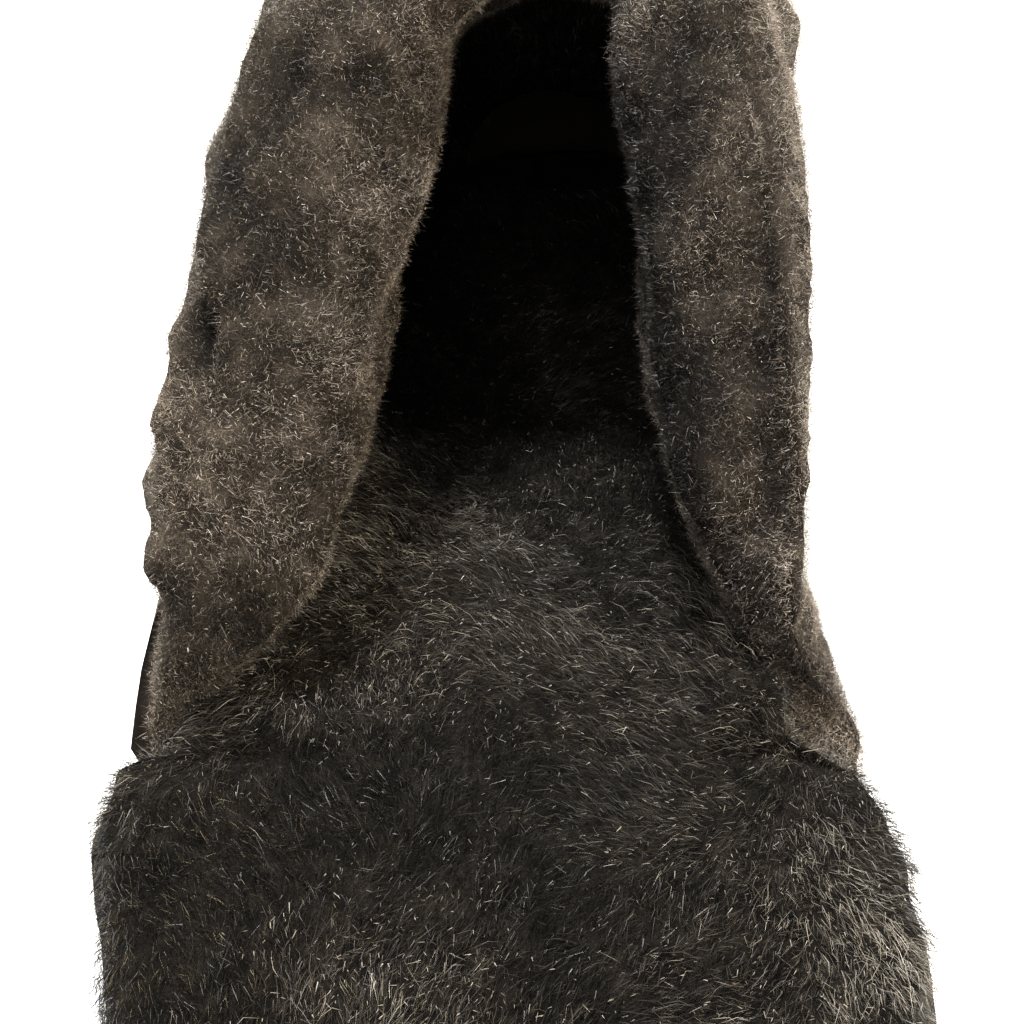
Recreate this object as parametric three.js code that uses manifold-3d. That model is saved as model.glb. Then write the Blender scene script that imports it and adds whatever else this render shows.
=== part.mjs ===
// Open-back sheepskin slipper for the left foot, standing empty on its sole.
// Millimetres: +Y runs from heel to toe, +X to the inner side of the foot, +Z up.
// Every piece follows one last. A place on it is a share of the length from the heel, an angle over
// the foot from the outer side to the inner side, and a depth in from the outer face of the suede.
import * as THREE from 'three';
import Module from 'manifold-3d';

// Driving sizes
const SOLE_LENGTH = 282;
const SOLE_LIP = 2;
const SOLE_BEVEL = 1.8;
const WALL = 2;
const GAP = 0.3;
const CUFF_SLOT = { edge: 0.6, outside: 0.9, inside: 1 };
const COLLAR_CORNER = 0.356;
const COLLAR_THROAT = 0.7;
const CUFF_END_ANGLE = THREE.MathUtils.degToRad(5);

// Rounding of the outline at heel and toe, and of the toe's dome, over a share of the length
const HEEL_ROUND = { share: 0.15, power: 2 };
const TOE_ROUND = { share: 0.27, power: 2.4 };
const TOE_DOME = { share: 0.2, power: 2.3 };
const END_TRIM = 0.0008;

// The sole's outline: the centre line's shift to the inner side and the half widths from it
const OUTLINE = [
  { at: 0.0, centre: 1, lateral: 35, medial: 35 },
  { at: 0.12, centre: 1, lateral: 37, medial: 36.5 },
  { at: 0.22, centre: 0.5, lateral: 39.5, medial: 37.5 },
  { at: 0.31, centre: 0, lateral: 46, medial: 42 },
  { at: 0.42, centre: 0, lateral: 48.5, medial: 40.5 },
  { at: 0.52, centre: 1, lateral: 50, medial: 39 },
  { at: 0.62, centre: 2.5, lateral: 52, medial: 42.5 },
  { at: 0.72, centre: 4.5, lateral: 54.5, medial: 47 },
  { at: 0.82, centre: 7, lateral: 52.5, medial: 47 },
  { at: 0.91, centre: 9.5, lateral: 47.5, medial: 44.5 },
  { at: 1.0, centre: 11, lateral: 42, medial: 42 },
];

// The sole from the side: flat under heel and forefoot, hollow at the arch, sprung at the toe
const SOLE_HEIGHTS = [
  { at: 0.0, under: 2, top: 11.5 },
  { at: 0.03, under: 0, top: 11 },
  { at: 0.33, under: 0, top: 10.4 },
  { at: 0.44, under: 2.6, top: 9.8 },
  { at: 0.55, under: 0, top: 9 },
  { at: 0.79, under: 0, top: 8.4 },
  { at: 0.9, under: 2.8, top: 10.6 },
  { at: 1.0, under: 8.5, top: 15.5 },
];

// The last's sections: the ridge's height over the sole, how far it swings to the inner side, how far
// the sides lean in towards it, as a share of the width, and how full the arch over the foot is
const SECTIONS = [
  { at: 0.3, ridge: 84, swing: 4.5, lean: 0.3, fullness: 2.7 },
  { at: 0.5, ridge: 86, swing: 4.5, lean: 0.29, fullness: 2.7 },
  { at: 0.61, ridge: 87, swing: 3.5, lean: 0.26, fullness: 2.6 },
  { at: 0.7, ridge: 84, swing: 3, lean: 0.2, fullness: 2.5 },
  { at: 0.79, ridge: 70, swing: 2, lean: 0.11, fullness: 2.4 },
  { at: 0.88, ridge: 56, swing: 1, lean: 0.05, fullness: 2.4 },
  { at: 1.0, ridge: 43, swing: 0, lean: 0, fullness: 2.5 },
];

// The footbed: how far its edge lies in from the sole's edge, and its wool's height
const FOOTBED = [
  { at: 0.0, inset: -4, wool: 13.5 },
  { at: 0.24, inset: -3.5, wool: 13.5 },
  { at: 0.335, inset: -2, wool: 13.5 },
  { at: 0.35, inset: 6.4, wool: 13 },
  { at: 0.85, inset: 6, wool: 12 },
  { at: 1.0, inset: 6.4, wool: 7 },
];
const FOOTBED_TOE = 0.965;
const FOOTBED_CORNER = { from: 0.335, to: 0.35 };

// Half of the footbed's section, from the middle underneath to the middle of the wool
const FOOTBED_SECTION = [
  { across: 0, up: 0 },
  { across: 0.92, up: 0 },
  { across: 0.99, up: 0.3 },
  { across: 1, up: 0.6 },
  { across: 0.93, up: 0.88 },
  { across: 0.76, up: 1 },
  { across: 0.5, up: 0.98 },
  { across: 0.25, up: 0.95 },
  { across: 0, up: 0.94 },
];

// The cuff by the collar's rise, from its tapered ends to the throat: wool on each face, and two legs
const CUFF = [
  { at: 0.08, outside: 2.4, top: 3, inside: 4, outerLeg: 6, innerLeg: 9 },
  { at: 0.2, outside: 5, top: 9, inside: 11, outerLeg: 13, innerLeg: 17 },
  { at: 0.32, outside: 7, top: 11, inside: 15, outerLeg: 17, innerLeg: 21 },
  { at: 0.65, outside: 11, top: 12, inside: 15, outerLeg: 19, innerLeg: 22 },
  { at: 0.88, outside: 12.5, top: 12, inside: 11.5, outerLeg: 21, innerLeg: 23 },
  { at: 1.0, outside: 13.5, top: 11, inside: 8.5, outerLeg: 28, innerLeg: 24 },
];

// How much flatter the wool lies outside on the inner side of the foot than on the outer side
const CUFF_PRESSED = 0.35;

// The wool's surface round the cuff's fold, as shares of a leg, of the top and of the wool's depth
const CUFF_WOOL = [
  { face: 'inside', leg: 1.06, over: 0, depth: 0.36 },
  { face: 'inside', leg: 0.94, over: 0, depth: 0.74 },
  { face: 'inside', leg: 0.7, over: 0, depth: 1 },
  { face: 'inside', leg: 0.33, over: 0, depth: 1.04 },
  { face: 'inside', leg: 0, over: 0.4, depth: 0.92 },
  { face: 'inside', leg: 0, over: 0.85, depth: 0.5 },
  { face: 'outside', leg: 0, over: 1, depth: 0 },
  { face: 'outside', leg: 0, over: 0.88, depth: 0.48 },
  { face: 'outside', leg: 0, over: 0.42, depth: 0.9 },
  { face: 'outside', leg: 0.3, over: 0, depth: 1 },
  { face: 'outside', leg: 0.7, over: 0, depth: 0.96 },
  { face: 'outside', leg: 0.92, over: 0, depth: 0.76 },
  { face: 'outside', leg: 1.04, over: 0, depth: 0.5 },
];
const CUFF_LUMP = { depth: 0.06, perTurn: 9, perRow: 1.9 };

// Wool locks: four-sided wedges, sunk at the root and combed over to a raised tip
const LOCK = { width: 8.5, back: 3.5, front: 7, sunk: 1.8, tip: 1.1 };
const CUFF_LOCKS = { count: 170, from: 0.17, crest: 0.5, to: 0.83, length: 0.09 };
const CUFF_SWAY = { angle: 0.07, perAngle: 7, perShare: 5 };
const FOOTBED_LOCKS = { count: 120, heel: 0.02, front: 0.58, up: 0.96, length: 10 };
const FOOTBED_REACH = { heel: 0.76, front: 0.5 };
const FOOTBED_SWIRL = { angle: 1.4, perLength: 13, perWidth: 2 };

// Mesh steps
const SOLE_STEPS = 40;
const FOOTBED_STEPS = { heel: 16, corner: 4, front: 14 };
const FOOTBED_CROWDING = 1.6;
const UPPER_STEPS = { over: 30, along: 20 };
const CUFF_STEPS = { over: 32, leg: 5 };

const ROUGHNESS = { outsole: 0.75, insole: 0.95, upper: 0.9, cuff: 0.95 };
const COLOURS = { outsole: 0x1c1815, insole: 0x33302a, upper: 0x2a221b, cuff: 0x3d3831 };

// A smooth value from a table, level between rows that are equal
function readTable(rows, column, at) {
  const last = rows.length - 1;
  const slopeAfter = (i) => (rows[i + 1][column] - rows[i][column]) / (rows[i + 1].at - rows[i].at);
  const slopeAt = (i) => {
    if (i === 0) return slopeAfter(0);
    if (i === last) return slopeAfter(last - 1);
    const before = slopeAfter(i - 1);
    const after = slopeAfter(i);
    return before * after <= 0 ? 0 : (2 * before * after) / (before + after);
  };
  const inside = THREE.MathUtils.clamp(at, rows[0].at, rows[last].at);
  let row = 0;
  while (row < last - 1 && inside > rows[row + 1].at) row += 1;
  const span = rows[row + 1].at - rows[row].at;
  const share = (inside - rows[row].at) / span;
  const rest = 1 - share;
  return rest ** 2 * (1 + 2 * share) * rows[row][column]
    + share ** 2 * (1 + 2 * rest) * rows[row + 1][column]
    + share * rest * span * (rest * slopeAt(row) - share * slopeAt(row + 1));
}

// The share of the full size that is left near a rounded end
function roundedEnd(fromEnd, { share, power }) {
  if (fromEnd >= share) return 1;
  const back = 1 - Math.max(fromEnd, 0) / share;
  return (1 - back ** power) ** (1 / power);
}

// The half width on one side of the centre line, at an inset from the sole's edge
function halfWidth(at, side, inset) {
  const end = inset / SOLE_LENGTH;
  const width = readTable(OUTLINE, side, at) - inset;
  return width * roundedEnd(at - end, HEEL_ROUND) * roundedEnd(1 - end - at, TOE_ROUND);
}

// A point of the last
function lastPoint(at, angle, depth) {
  const inset = SOLE_LIP + depth;
  const power = 2 / readTable(SECTIONS, 'fullness', at);
  const outward = -Math.sign(Math.cos(angle));
  const side = outward < 0 ? 'lateral' : 'medial';
  const up = Math.abs(Math.sin(angle)) ** power;
  const across = Math.abs(Math.cos(angle)) ** power * (1 - up * readTable(SECTIONS, 'lean', at));
  const centre = readTable(OUTLINE, 'centre', at) + up * readTable(SECTIONS, 'swing', at);
  const dome = roundedEnd(1 - inset / SOLE_LENGTH - at, TOE_DOME);
  const ridge = (readTable(SECTIONS, 'ridge', at) - depth) * dome;
  return new THREE.Vector3(
    centre + outward * across * halfWidth(at, side, inset),
    at * SOLE_LENGTH,
    readTable(SOLE_HEIGHTS, 'top', at) + GAP + ridge * up,
  );
}

// The last's outward normal
function lastNormal(at, angle) {
  const step = 0.004;
  const along = lastPoint(at + step, angle, 0).sub(lastPoint(at - step, angle, 0));
  const over = lastPoint(at, angle + step, 0).sub(lastPoint(at, angle - step, 0));
  return along.cross(over).negate().normalize();
}

// The collar's edge, from the corners beside the footbed up to the throat
function collarAt(angle) {
  return COLLAR_CORNER + (COLLAR_THROAT - COLLAR_CORNER) * Math.sin(angle);
}

function spread(count, from, to, ease = (share) => share) {
  return Array.from({ length: count + 1 }, (_, i) => from + (to - from) * ease(i / count));
}

// Steps that crowd together at both ends, where outlines turn
function crowded(share) {
  return (1 - Math.cos(Math.PI * share)) / 2;
}

// A closed body from corner points and triangles, turned so that its faces point out
function closedBody(points, triangles) {
  const volume = triangles.reduce((sum, [a, b, c]) => {
    return sum + points[a].dot(new THREE.Vector3().crossVectors(points[b], points[c]));
  }, 0);
  const outward = volume > 0 ? triangles : triangles.map(([a, b, c]) => [a, c, b]);
  const geometry = new THREE.BufferGeometry();
  geometry.setFromPoints(points);
  geometry.setIndex(outward.flat());
  return geometry;
}

// A body through closed loops of points, its two ends shut by a face that lies flat in two axes
function loft(loops, [first, second]) {
  const size = loops[0].length;
  const triangles = [];
  for (let row = 0; row < loops.length - 1; row += 1) {
    for (let i = 0; i < size; i += 1) {
      const here = row * size + i;
      const beside = row * size + ((i + 1) % size);
      triangles.push([here, beside, here + size], [beside, beside + size, here + size]);
    }
  }
  for (const row of [0, loops.length - 1]) {
    const flat = loops[row].map((point) => new THREE.Vector2(point[first], point[second]));
    const along = Math.sign(THREE.ShapeUtils.area(flat)) * (row === 0 ? -1 : 1);
    for (const face of THREE.ShapeUtils.triangulateShape(flat, [])) {
      const turn = Math.sign(THREE.ShapeUtils.area(face.map((i) => flat[i])));
      const [a, b, c] = face.map((i) => row * size + i);
      triangles.push(turn === along ? [a, b, c] : [a, c, b]);
    }
  }
  return closedBody(loops.flat(), triangles);
}

// The outsole: a loop of bevelled edges round each section
function outsole() {
  const section = (at) => {
    const under = readTable(SOLE_HEIGHTS, 'under', at);
    const top = readTable(SOLE_HEIGHTS, 'top', at);
    const row = (inset, z) => ['lateral', 'medial'].map((side) => {
      const outward = side === 'lateral' ? -1 : 1;
      const x = readTable(OUTLINE, 'centre', at) + outward * halfWidth(at, side, 0) * (1 - inset);
      return new THREE.Vector3(x, at * SOLE_LENGTH, z);
    });
    const bevel = SOLE_BEVEL / readTable(OUTLINE, 'lateral', at);
    const rows = [
      row(bevel, under),
      row(0, under + SOLE_BEVEL),
      row(0, top - SOLE_BEVEL / 2),
      row(bevel / 2, top),
    ];
    return [...rows.map((pair) => pair[1]), ...rows.reverse().map((pair) => pair[0])];
  };
  return loft(spread(SOLE_STEPS, END_TRIM, 1 - END_TRIM, crowded).map(section), ['x', 'z']);
}

// The upper: the last's face and the same form one wall further in, joined at collar and sole
function upper() {
  const { over, along } = UPPER_STEPS;
  const face = (depth) => spread(over, 0, Math.PI).map((angle) => {
    const toe = 1 - (SOLE_LIP + depth) / SOLE_LENGTH - END_TRIM;
    const ease = (share) => Math.sin((share * Math.PI) / 2);
    return spread(along, collarAt(angle), toe, ease).map((at) => lastPoint(at, angle, depth));
  });
  const points = [face(0), face(WALL)].flat(2);
  const outer = (i, j) => i * (along + 1) + j;
  const inner = (i, j) => (over + 1) * (along + 1) + outer(i, j);
  const triangles = [];
  const quad = (a, b, c, d) => triangles.push([a, b, c], [a, c, d]);
  for (let i = 0; i < over; i += 1) {
    for (let j = 0; j < along; j += 1) {
      quad(outer(i, j), outer(i + 1, j), outer(i + 1, j + 1), outer(i, j + 1));
      quad(inner(i, j), inner(i, j + 1), inner(i + 1, j + 1), inner(i + 1, j));
    }
    quad(outer(i, 0), inner(i, 0), inner(i + 1, 0), outer(i + 1, 0));
  }
  for (let j = 0; j < along; j += 1) {
    quad(outer(0, j), outer(0, j + 1), inner(0, j + 1), inner(0, j));
    quad(outer(over, j), inner(over, j), inner(over, j + 1), outer(over, j + 1));
  }
  for (let i = 1; i < over; i += 1) {
    triangles.push([outer(0, along), outer(i, along), outer(i + 1, along)]);
    triangles.push([inner(0, along), inner(i + 1, along), inner(i, along)]);
  }
  quad(outer(0, along), outer(over, along), inner(over, along), inner(0, along));
  return closedBody(points, triangles);
}

// A point of the footbed's section, by its row and side
function footbedPoint(at, { across, up }, side) {
  const inset = readTable(FOOTBED, 'inset', at);
  const outward = side === 'lateral' ? -1 : 1;
  const x = readTable(OUTLINE, 'centre', at) + outward * across * halfWidth(at, side, inset);
  const z = readTable(SOLE_HEIGHTS, 'top', at) + GAP + up * readTable(FOOTBED, 'wool', at);
  return new THREE.Vector3(x, at * SOLE_LENGTH, z);
}

function footbed() {
  const half = FOOTBED_SECTION;
  const section = (at) => [
    ...half.map((row) => footbedPoint(at, row, 'medial')),
    ...half.slice(1, -1).reverse().map((row) => footbedPoint(at, row, 'lateral')),
  ];
  const heel = readTable(FOOTBED, 'inset', 0) / SOLE_LENGTH + END_TRIM;
  const early = (share) => share ** FOOTBED_CROWDING;
  const late = (share) => 1 - (1 - share) ** FOOTBED_CROWDING;
  const stations = [
    ...spread(FOOTBED_STEPS.heel, heel, FOOTBED_CORNER.from, early),
    ...spread(FOOTBED_STEPS.corner, FOOTBED_CORNER.from, FOOTBED_CORNER.to).slice(1),
    ...spread(FOOTBED_STEPS.front, FOOTBED_CORNER.to, FOOTBED_TOE, late).slice(1),
  ];
  return loft(stations.map(section), ['x', 'z']);
}

// A point of the cuff, so far along the last from the collar's edge and so deep in it
function cuffPoint(angle, along, depth) {
  const step = 0.01;
  const edge = lastPoint(collarAt(angle + step), angle + step, 0);
  edge.sub(lastPoint(collarAt(angle - step), angle - step, 0)).normalize();
  const slant = Math.hypot(edge.x, edge.z);
  const at = collarAt(angle) + along / slant / SOLE_LENGTH;
  return lastPoint(at, angle, 0).addScaledVector(lastNormal(at, angle), -depth);
}

// The wool's surface round the fold, a row of CUFF_WOOL at a time
function cuffWool(angle, row) {
  const size = (column) => readTable(CUFF, column, Math.sin(angle));
  const { face, leg, over, depth } = CUFF_WOOL[row];
  const lump = 1 + CUFF_LUMP.depth * Math.sin(CUFF_LUMP.perTurn * angle + CUFF_LUMP.perRow * row);
  const along = leg * size(face === 'inside' ? 'innerLeg' : 'outerLeg') - over * size('top');
  const pressed = face === 'inside' ? 1 : 1 - CUFF_PRESSED * Math.sin(angle / 2) ** 2;
  const pile = depth * lump * pressed * size(face);
  return cuffPoint(angle, along, face === 'inside' ? WALL + pile : -pile);
}

// The cuff: the wool's surface outside, and a slot that sits over the collar's edge
function cuff() {
  const section = (angle) => {
    const size = (column) => readTable(CUFF, column, Math.sin(angle));
    const face = (depth, from, to) => spread(CUFF_STEPS.leg, from, to)
      .map((along) => cuffPoint(angle, along, depth));
    return [
      ...face(-CUFF_SLOT.outside, size('outerLeg'), -CUFF_SLOT.edge),
      ...face(WALL + CUFF_SLOT.inside, -CUFF_SLOT.edge, size('innerLeg')),
      ...CUFF_WOOL.map((_, row) => cuffWool(angle, row)),
    ];
  };
  const angles = spread(CUFF_STEPS.over, CUFF_END_ANGLE, Math.PI - CUFF_END_ANGLE);
  return loft(angles.map(section), ['x', 'y']);
}

// A lock of wool from its root to its tip, which is raised over the surface there
function lock(root, normal, tip, tipNormal) {
  const beside = new THREE.Vector3().subVectors(tip, root).cross(normal).normalize();
  const ahead = new THREE.Vector3().crossVectors(normal, beside);
  const base = (forward, sideways) => root.clone()
    .addScaledVector(ahead, forward)
    .addScaledVector(beside, sideways)
    .addScaledVector(normal, -LOCK.sunk);
  const points = [
    base(-LOCK.back, 0),
    base(0, LOCK.width / 2),
    base(LOCK.front, 0),
    base(0, -LOCK.width / 2),
    tip.clone().addScaledVector(tipNormal, LOCK.tip),
  ];
  return closedBody(points, [[0, 1, 4], [1, 2, 4], [2, 3, 4], [3, 0, 4], [1, 0, 3], [1, 3, 2]]);
}

// Evenly scattered pairs between 0 and 1
function scattered(count) {
  const stride = { first: 0.7548776662, second: 0.569840291 };
  return Array.from({ length: count }, (_, i) => [
    ((i + 1) * stride.first) % 1,
    ((i + 1) * stride.second) % 1,
  ]);
}

// Locks round the cuff's fold, each combed down its own face
function cuffLocks() {
  const rows = CUFF_WOOL.length - 1;
  const surface = (angle, share) => {
    const row = THREE.MathUtils.clamp(Math.floor(share * rows), 0, rows - 1);
    return cuffWool(angle, row).lerp(cuffWool(angle, row + 1), share * rows - row);
  };
  const normal = (angle, share) => {
    const step = 0.02;
    const round = surface(angle, share + step).sub(surface(angle, share - step));
    const along = surface(angle + step, share).sub(surface(angle - step, share));
    return along.cross(round).normalize();
  };
  const { count, from, crest, to, length } = CUFF_LOCKS;
  const { angle: sway, perAngle, perShare } = CUFF_SWAY;
  return scattered(count).map(([first, second]) => {
    const angle = THREE.MathUtils.lerp(2 * CUFF_END_ANGLE, Math.PI - 2 * CUFF_END_ANGLE, first);
    const share = THREE.MathUtils.lerp(from, to, second);
    const root = [angle, share];
    const tip = [
      angle + sway * Math.sin(perAngle * angle + perShare * share),
      share + length * Math.sign(share - crest),
    ];
    return lock(surface(...root), normal(...root), surface(...tip), normal(...tip));
  });
}

// Locks on the footbed, swirled as worn wool is
function footbedLocks() {
  const { count, heel, front, up, length } = FOOTBED_LOCKS;
  const { angle: swirl, perLength, perWidth } = FOOTBED_SWIRL;
  const normal = new THREE.Vector3(0, 0, 1);
  return scattered(count).map(([first, second]) => {
    const at = THREE.MathUtils.lerp(heel, front, first);
    const reach = at < FOOTBED_CORNER.from ? FOOTBED_REACH.heel : FOOTBED_REACH.front;
    const side = second < 0.5 ? 'lateral' : 'medial';
    const across = reach * Math.abs(2 * second - 1);
    const root = footbedPoint(at, { across, up }, side);
    const turn = swirl * Math.sin(perLength * at + perWidth * across) - Math.PI * second;
    const lean = new THREE.Vector3(Math.cos(turn), Math.sin(turn), 0);
    const tip = root.clone().addScaledVector(lean, length);
    return lock(root, normal, tip, normal);
  });
}

const wasm = await Module();
wasm.setup();

function solid(geometry) {
  return new wasm.Manifold(new wasm.Mesh({
    numProp: 3,
    vertProperties: new Float32Array(geometry.attributes.position.array),
    triVerts: new Uint32Array(geometry.index.array),
  }));
}

// A body with its locks fused on
function fused(body, locks) {
  const joined = locks.reduce((sum, piece) => sum.add(solid(piece)), solid(body));
  const mesh = joined.getMesh();
  const geometry = new THREE.BufferGeometry();
  geometry.setAttribute('position', new THREE.BufferAttribute(mesh.vertProperties, mesh.numProp));
  geometry.setIndex(new THREE.BufferAttribute(mesh.triVerts, 1));
  return geometry;
}

function piece(name, geometry) {
  geometry.computeVertexNormals();
  const material = new THREE.MeshStandardMaterial({
    color: COLOURS[name],
    roughness: ROUGHNESS[name],
    metalness: 0,
    flatShading: true,
  });
  const mesh = new THREE.Mesh(geometry, material);
  mesh.name = name;
  return mesh;
}

const pieces = new THREE.Group();
pieces.add(
  piece('outsole', outsole()),
  piece('insole', fused(footbed(), footbedLocks())),
  piece('upper', upper()),
  piece('cuff', fused(cuff(), cuffLocks())),
);

// The origin is under the middle of the slipper's box, on the floor
const box = new THREE.Box3().setFromObject(pieces);
const middle = box.getCenter(new THREE.Vector3());
pieces.position.set(-middle.x, -middle.y, -box.min.z);

const slipper = new THREE.Group();
slipper.add(pieces);

export default slipper;
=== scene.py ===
"""The looks of an open-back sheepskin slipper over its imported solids."""
import math

import bpy
import numpy as np
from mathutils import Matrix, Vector, kdtree


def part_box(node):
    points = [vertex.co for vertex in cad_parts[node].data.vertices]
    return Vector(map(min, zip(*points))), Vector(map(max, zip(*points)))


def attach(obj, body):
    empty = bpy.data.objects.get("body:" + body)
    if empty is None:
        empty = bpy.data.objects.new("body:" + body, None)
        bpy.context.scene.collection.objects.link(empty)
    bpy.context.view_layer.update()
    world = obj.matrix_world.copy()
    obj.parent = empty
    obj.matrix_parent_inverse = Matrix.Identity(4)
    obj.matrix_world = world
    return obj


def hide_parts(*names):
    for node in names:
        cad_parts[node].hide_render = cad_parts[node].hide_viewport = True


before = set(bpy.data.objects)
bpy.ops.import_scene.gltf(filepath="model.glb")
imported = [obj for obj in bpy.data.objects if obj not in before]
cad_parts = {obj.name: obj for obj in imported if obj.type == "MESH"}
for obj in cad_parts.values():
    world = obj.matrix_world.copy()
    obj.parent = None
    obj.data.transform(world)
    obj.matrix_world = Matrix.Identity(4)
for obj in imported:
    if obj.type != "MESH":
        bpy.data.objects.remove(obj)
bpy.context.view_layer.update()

# Sizes in millimetres, the same as in the part's source
MM = 0.001
SOLE_LENGTH = 282
SOLE_LIP = 2
SOLE_BEVEL = 1.8
WALL = 2
GAP = 0.3
CUFF_SLOT = {"edge": 0.6, "outside": 0.9, "inside": 1}
COLLAR_CORNER = 0.356
COLLAR_THROAT = 0.7
HEEL_ROUND = (0.15, 2)
TOE_ROUND = (0.27, 2.4)
TOE_DOME = (0.2, 2.3)
END_TRIM = 0.0008
FINE_TRIM = 0.00006
SOLE_STATIONS = 41

# at, centre, lateral, medial
OUTLINE = np.array([
    (0.0, 1, 35, 35),
    (0.12, 1, 37, 36.5),
    (0.22, 0.5, 39.5, 37.5),
    (0.31, 0, 46, 42),
    (0.42, 0, 48.5, 40.5),
    (0.52, 1, 50, 39),
    (0.62, 2.5, 52, 42.5),
    (0.72, 4.5, 54.5, 47),
    (0.82, 7, 52.5, 47),
    (0.91, 9.5, 47.5, 44.5),
    (1.0, 11, 42, 42),
])
CENTRE, LATERAL, MEDIAL = 1, 2, 3
# at, under, top
SOLE_HEIGHTS = np.array([
    (0.0, 2, 11.5),
    (0.03, 0, 11),
    (0.33, 0, 10.4),
    (0.44, 2.6, 9.8),
    (0.55, 0, 9),
    (0.79, 0, 8.4),
    (0.9, 2.8, 10.6),
    (1.0, 8.5, 15.5),
])
UNDER, TOP = 1, 2
# at, ridge, swing, lean, fullness
SECTIONS = np.array([
    (0.3, 84, 4.5, 0.3, 2.7),
    (0.5, 86, 4.5, 0.29, 2.7),
    (0.61, 87, 3.5, 0.26, 2.6),
    (0.7, 84, 3, 0.2, 2.5),
    (0.79, 70, 2, 0.11, 2.4),
    (0.88, 56, 1, 0.05, 2.4),
    (1.0, 43, 0, 0, 2.5),
])
RIDGE, SWING, LEAN, FULLNESS = 1, 2, 3, 4
# at, inset, wool
FOOTBED = np.array([
    (0.0, -4, 13.5),
    (0.24, -3.5, 13.5),
    (0.35, -2, 13.5),
    (0.362, 6.4, 13),
    (0.85, 6, 12),
    (1.0, 6.4, 7),
])
INSET, WOOL = 1, 2
FOOTBED_TOE = 0.965
# across, up
FOOTBED_SECTION = np.array([
    (0, 0), (0.92, 0), (0.99, 0.3), (1, 0.6), (0.93, 0.88), (0.76, 1), (0.5, 0.98), (0.25, 0.95), (0, 0.94),
])
# rise, outside, top, inside, outer leg, inner leg
CUFF = np.array([
    (0.08, 2.4, 3, 4, 6, 9),
    (0.2, 5, 9, 11, 13, 17),
    (0.32, 7, 11, 15, 17, 21),
    (0.65, 11, 12, 15, 19, 22),
    (0.88, 12.5, 12, 11.5, 21, 23),
    (1.0, 13.5, 11, 8.5, 28, 24),
])
CUFF_OUTSIDE, CUFF_TOP, CUFF_INSIDE, OUTER_LEG, INNER_LEG = 1, 2, 3, 4, 5
CUFF_PRESSED = 0.35
# inside (0) or outside (1), leg, over, depth
CUFF_WOOL = np.array([
    (0, 1.06, 0, 0.36),
    (0, 0.94, 0, 0.74),
    (0, 0.7, 0, 1),
    (0, 0.33, 0, 1.04),
    (0, 0, 0.4, 0.92),
    (0, 0, 0.85, 0.5),
    (1, 0, 1, 0),
    (1, 0, 0.88, 0.48),
    (1, 0, 0.42, 0.9),
    (1, 0.3, 0, 1),
    (1, 0.7, 0, 0.96),
    (1, 0.92, 0, 0.76),
    (1, 1.04, 0, 0.5),
])
CUFF_LUMP = {"depth": 0.06, "per_turn": 9, "per_row": 1.9}
# The column of a table with one value for each place
VALUE = 1

RANDOM_SEED = 7
random = np.random.default_rng(RANDOM_SEED)


# The last, as in the part's source
def curve(share, low, high, start, stop, span=1):
    """A smooth curve from the low value to the high one, with its slopes at both."""
    rest = 1 - share
    level = rest**2 * (1 + 2 * share) * low + share**2 * (1 + 2 * rest) * high
    return level + share * rest * span * (rest * start - share * stop)


def read_table(rows, column, at):
    """A smooth value from a table, level between rows that are equal."""
    places = rows[:, 0]
    values = rows[:, column]
    slopes = np.diff(values) / np.diff(places)
    before = slopes[:-1]
    after = slopes[1:]
    product = before * after
    total = np.where(product > 0, before + after, 1.0)
    middle = np.where(product > 0, 2 * product / total, 0.0)
    tangents = np.concatenate([slopes[:1], middle, slopes[-1:]])
    inside = np.clip(at, places[0], places[-1])
    row = np.clip(np.searchsorted(places, inside, side="left") - 1, 0, len(places) - 2)
    span = places[row + 1] - places[row]
    share = (inside - places[row]) / span
    return curve(share, values[row], values[row + 1], tangents[row], tangents[row + 1], span)


def rounded_end(from_end, rounding):
    share, power = rounding
    back = np.clip(1 - np.maximum(from_end, 0) / share, 0, 1)
    return (1 - back**power) ** (1 / power)


def centre_at(at):
    return read_table(OUTLINE, CENTRE, at)


def seat_at(at):
    """The level over the sole on which the upper and the bed sit."""
    return read_table(SOLE_HEIGHTS, TOP, at) + GAP


def half_width(at, outward, inset):
    end = inset / SOLE_LENGTH
    width = np.where(outward < 0, read_table(OUTLINE, LATERAL, at), read_table(OUTLINE, MEDIAL, at)) - inset
    return width * rounded_end(at - end, HEEL_ROUND) * rounded_end(1 - end - at, TOE_ROUND)


def xyz(x, y, z):
    return np.stack(np.broadcast_arrays(x, y, z), axis=-1)


def last_point(at, angle, depth):
    at, angle, depth = np.broadcast_arrays(at, angle, depth)
    inset = SOLE_LIP + depth
    power = 2 / read_table(SECTIONS, FULLNESS, at)
    outward = -np.sign(np.cos(angle))
    up = np.abs(np.sin(angle)) ** power
    across = np.abs(np.cos(angle)) ** power * (1 - up * read_table(SECTIONS, LEAN, at))
    centre = centre_at(at) + up * read_table(SECTIONS, SWING, at)
    dome = rounded_end(1 - inset / SOLE_LENGTH - at, TOE_DOME)
    ridge = (read_table(SECTIONS, RIDGE, at) - depth) * dome
    x = centre + outward * across * half_width(at, outward, inset)
    return xyz(x, at * SOLE_LENGTH, seat_at(at) + ridge * up)


def unit(vectors):
    shortest = 1e-9
    return vectors / np.maximum(np.linalg.norm(vectors, axis=-1, keepdims=True), shortest)


def last_normal(at, angle):
    step = 0.004
    along = last_point(at + step, angle, 0) - last_point(at - step, angle, 0)
    over = last_point(at, angle + step, 0) - last_point(at, angle - step, 0)
    return unit(-np.cross(along, over))


def collar_at(angle):
    return COLLAR_CORNER + (COLLAR_THROAT - COLLAR_CORNER) * np.sin(angle)


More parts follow.
